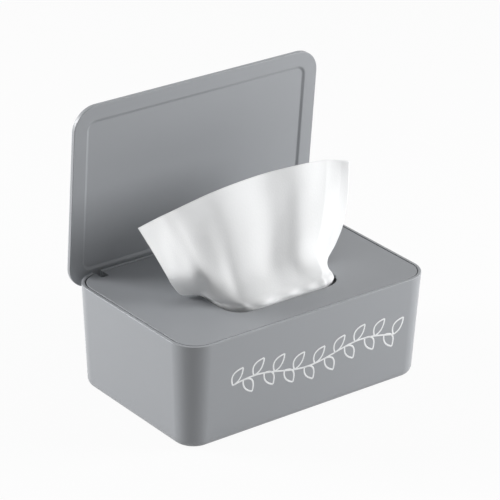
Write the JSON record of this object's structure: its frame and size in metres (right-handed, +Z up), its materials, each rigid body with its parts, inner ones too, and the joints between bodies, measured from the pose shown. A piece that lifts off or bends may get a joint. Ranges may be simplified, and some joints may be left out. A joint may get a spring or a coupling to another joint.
{
  "type": "wet wipes dispenser",
  "caption": "Rectangular plastic wet wipes box with rounded corners, a flat inner cover with a dispensing opening, a hinged lid that stands open, and a wipe pulled up.",
  "frame": {"origin": "centre of the box's flat underside", "axes": "+X along the box's long side, +Y towards the hinge side, +Z up"},
  "size_m": [0.19, 0.1302, 0.1838],
  "materials": {
    "box_plastic": "satin grey moulded plastic",
    "cover_plastic": "satin grey moulded plastic",
    "lid_plastic": "satin grey moulded plastic",
    "stack_cloth": "damp white nonwoven cloth, folded",
    "wipe_cloth": "damp white nonwoven cloth"
  },
  "bodies": {
    "box": {"base_box": "box_plastic", "inner_cover": "cover_plastic", "wipe_stack": "stack_cloth", "pulled_wipe": "wipe_cloth"},
    "lid": {"lid": "lid_plastic"}
  },
  "joints": [
    {"name": "lid_hinge", "type": "hinge", "parent": "box", "child": "lid", "pos_m": [0, 0.0574, 0.0632], "axis": [1, 0, 0], "range_deg": [-14, 86.16], "deforming": ["pulled_wipe"]}
  ]
}
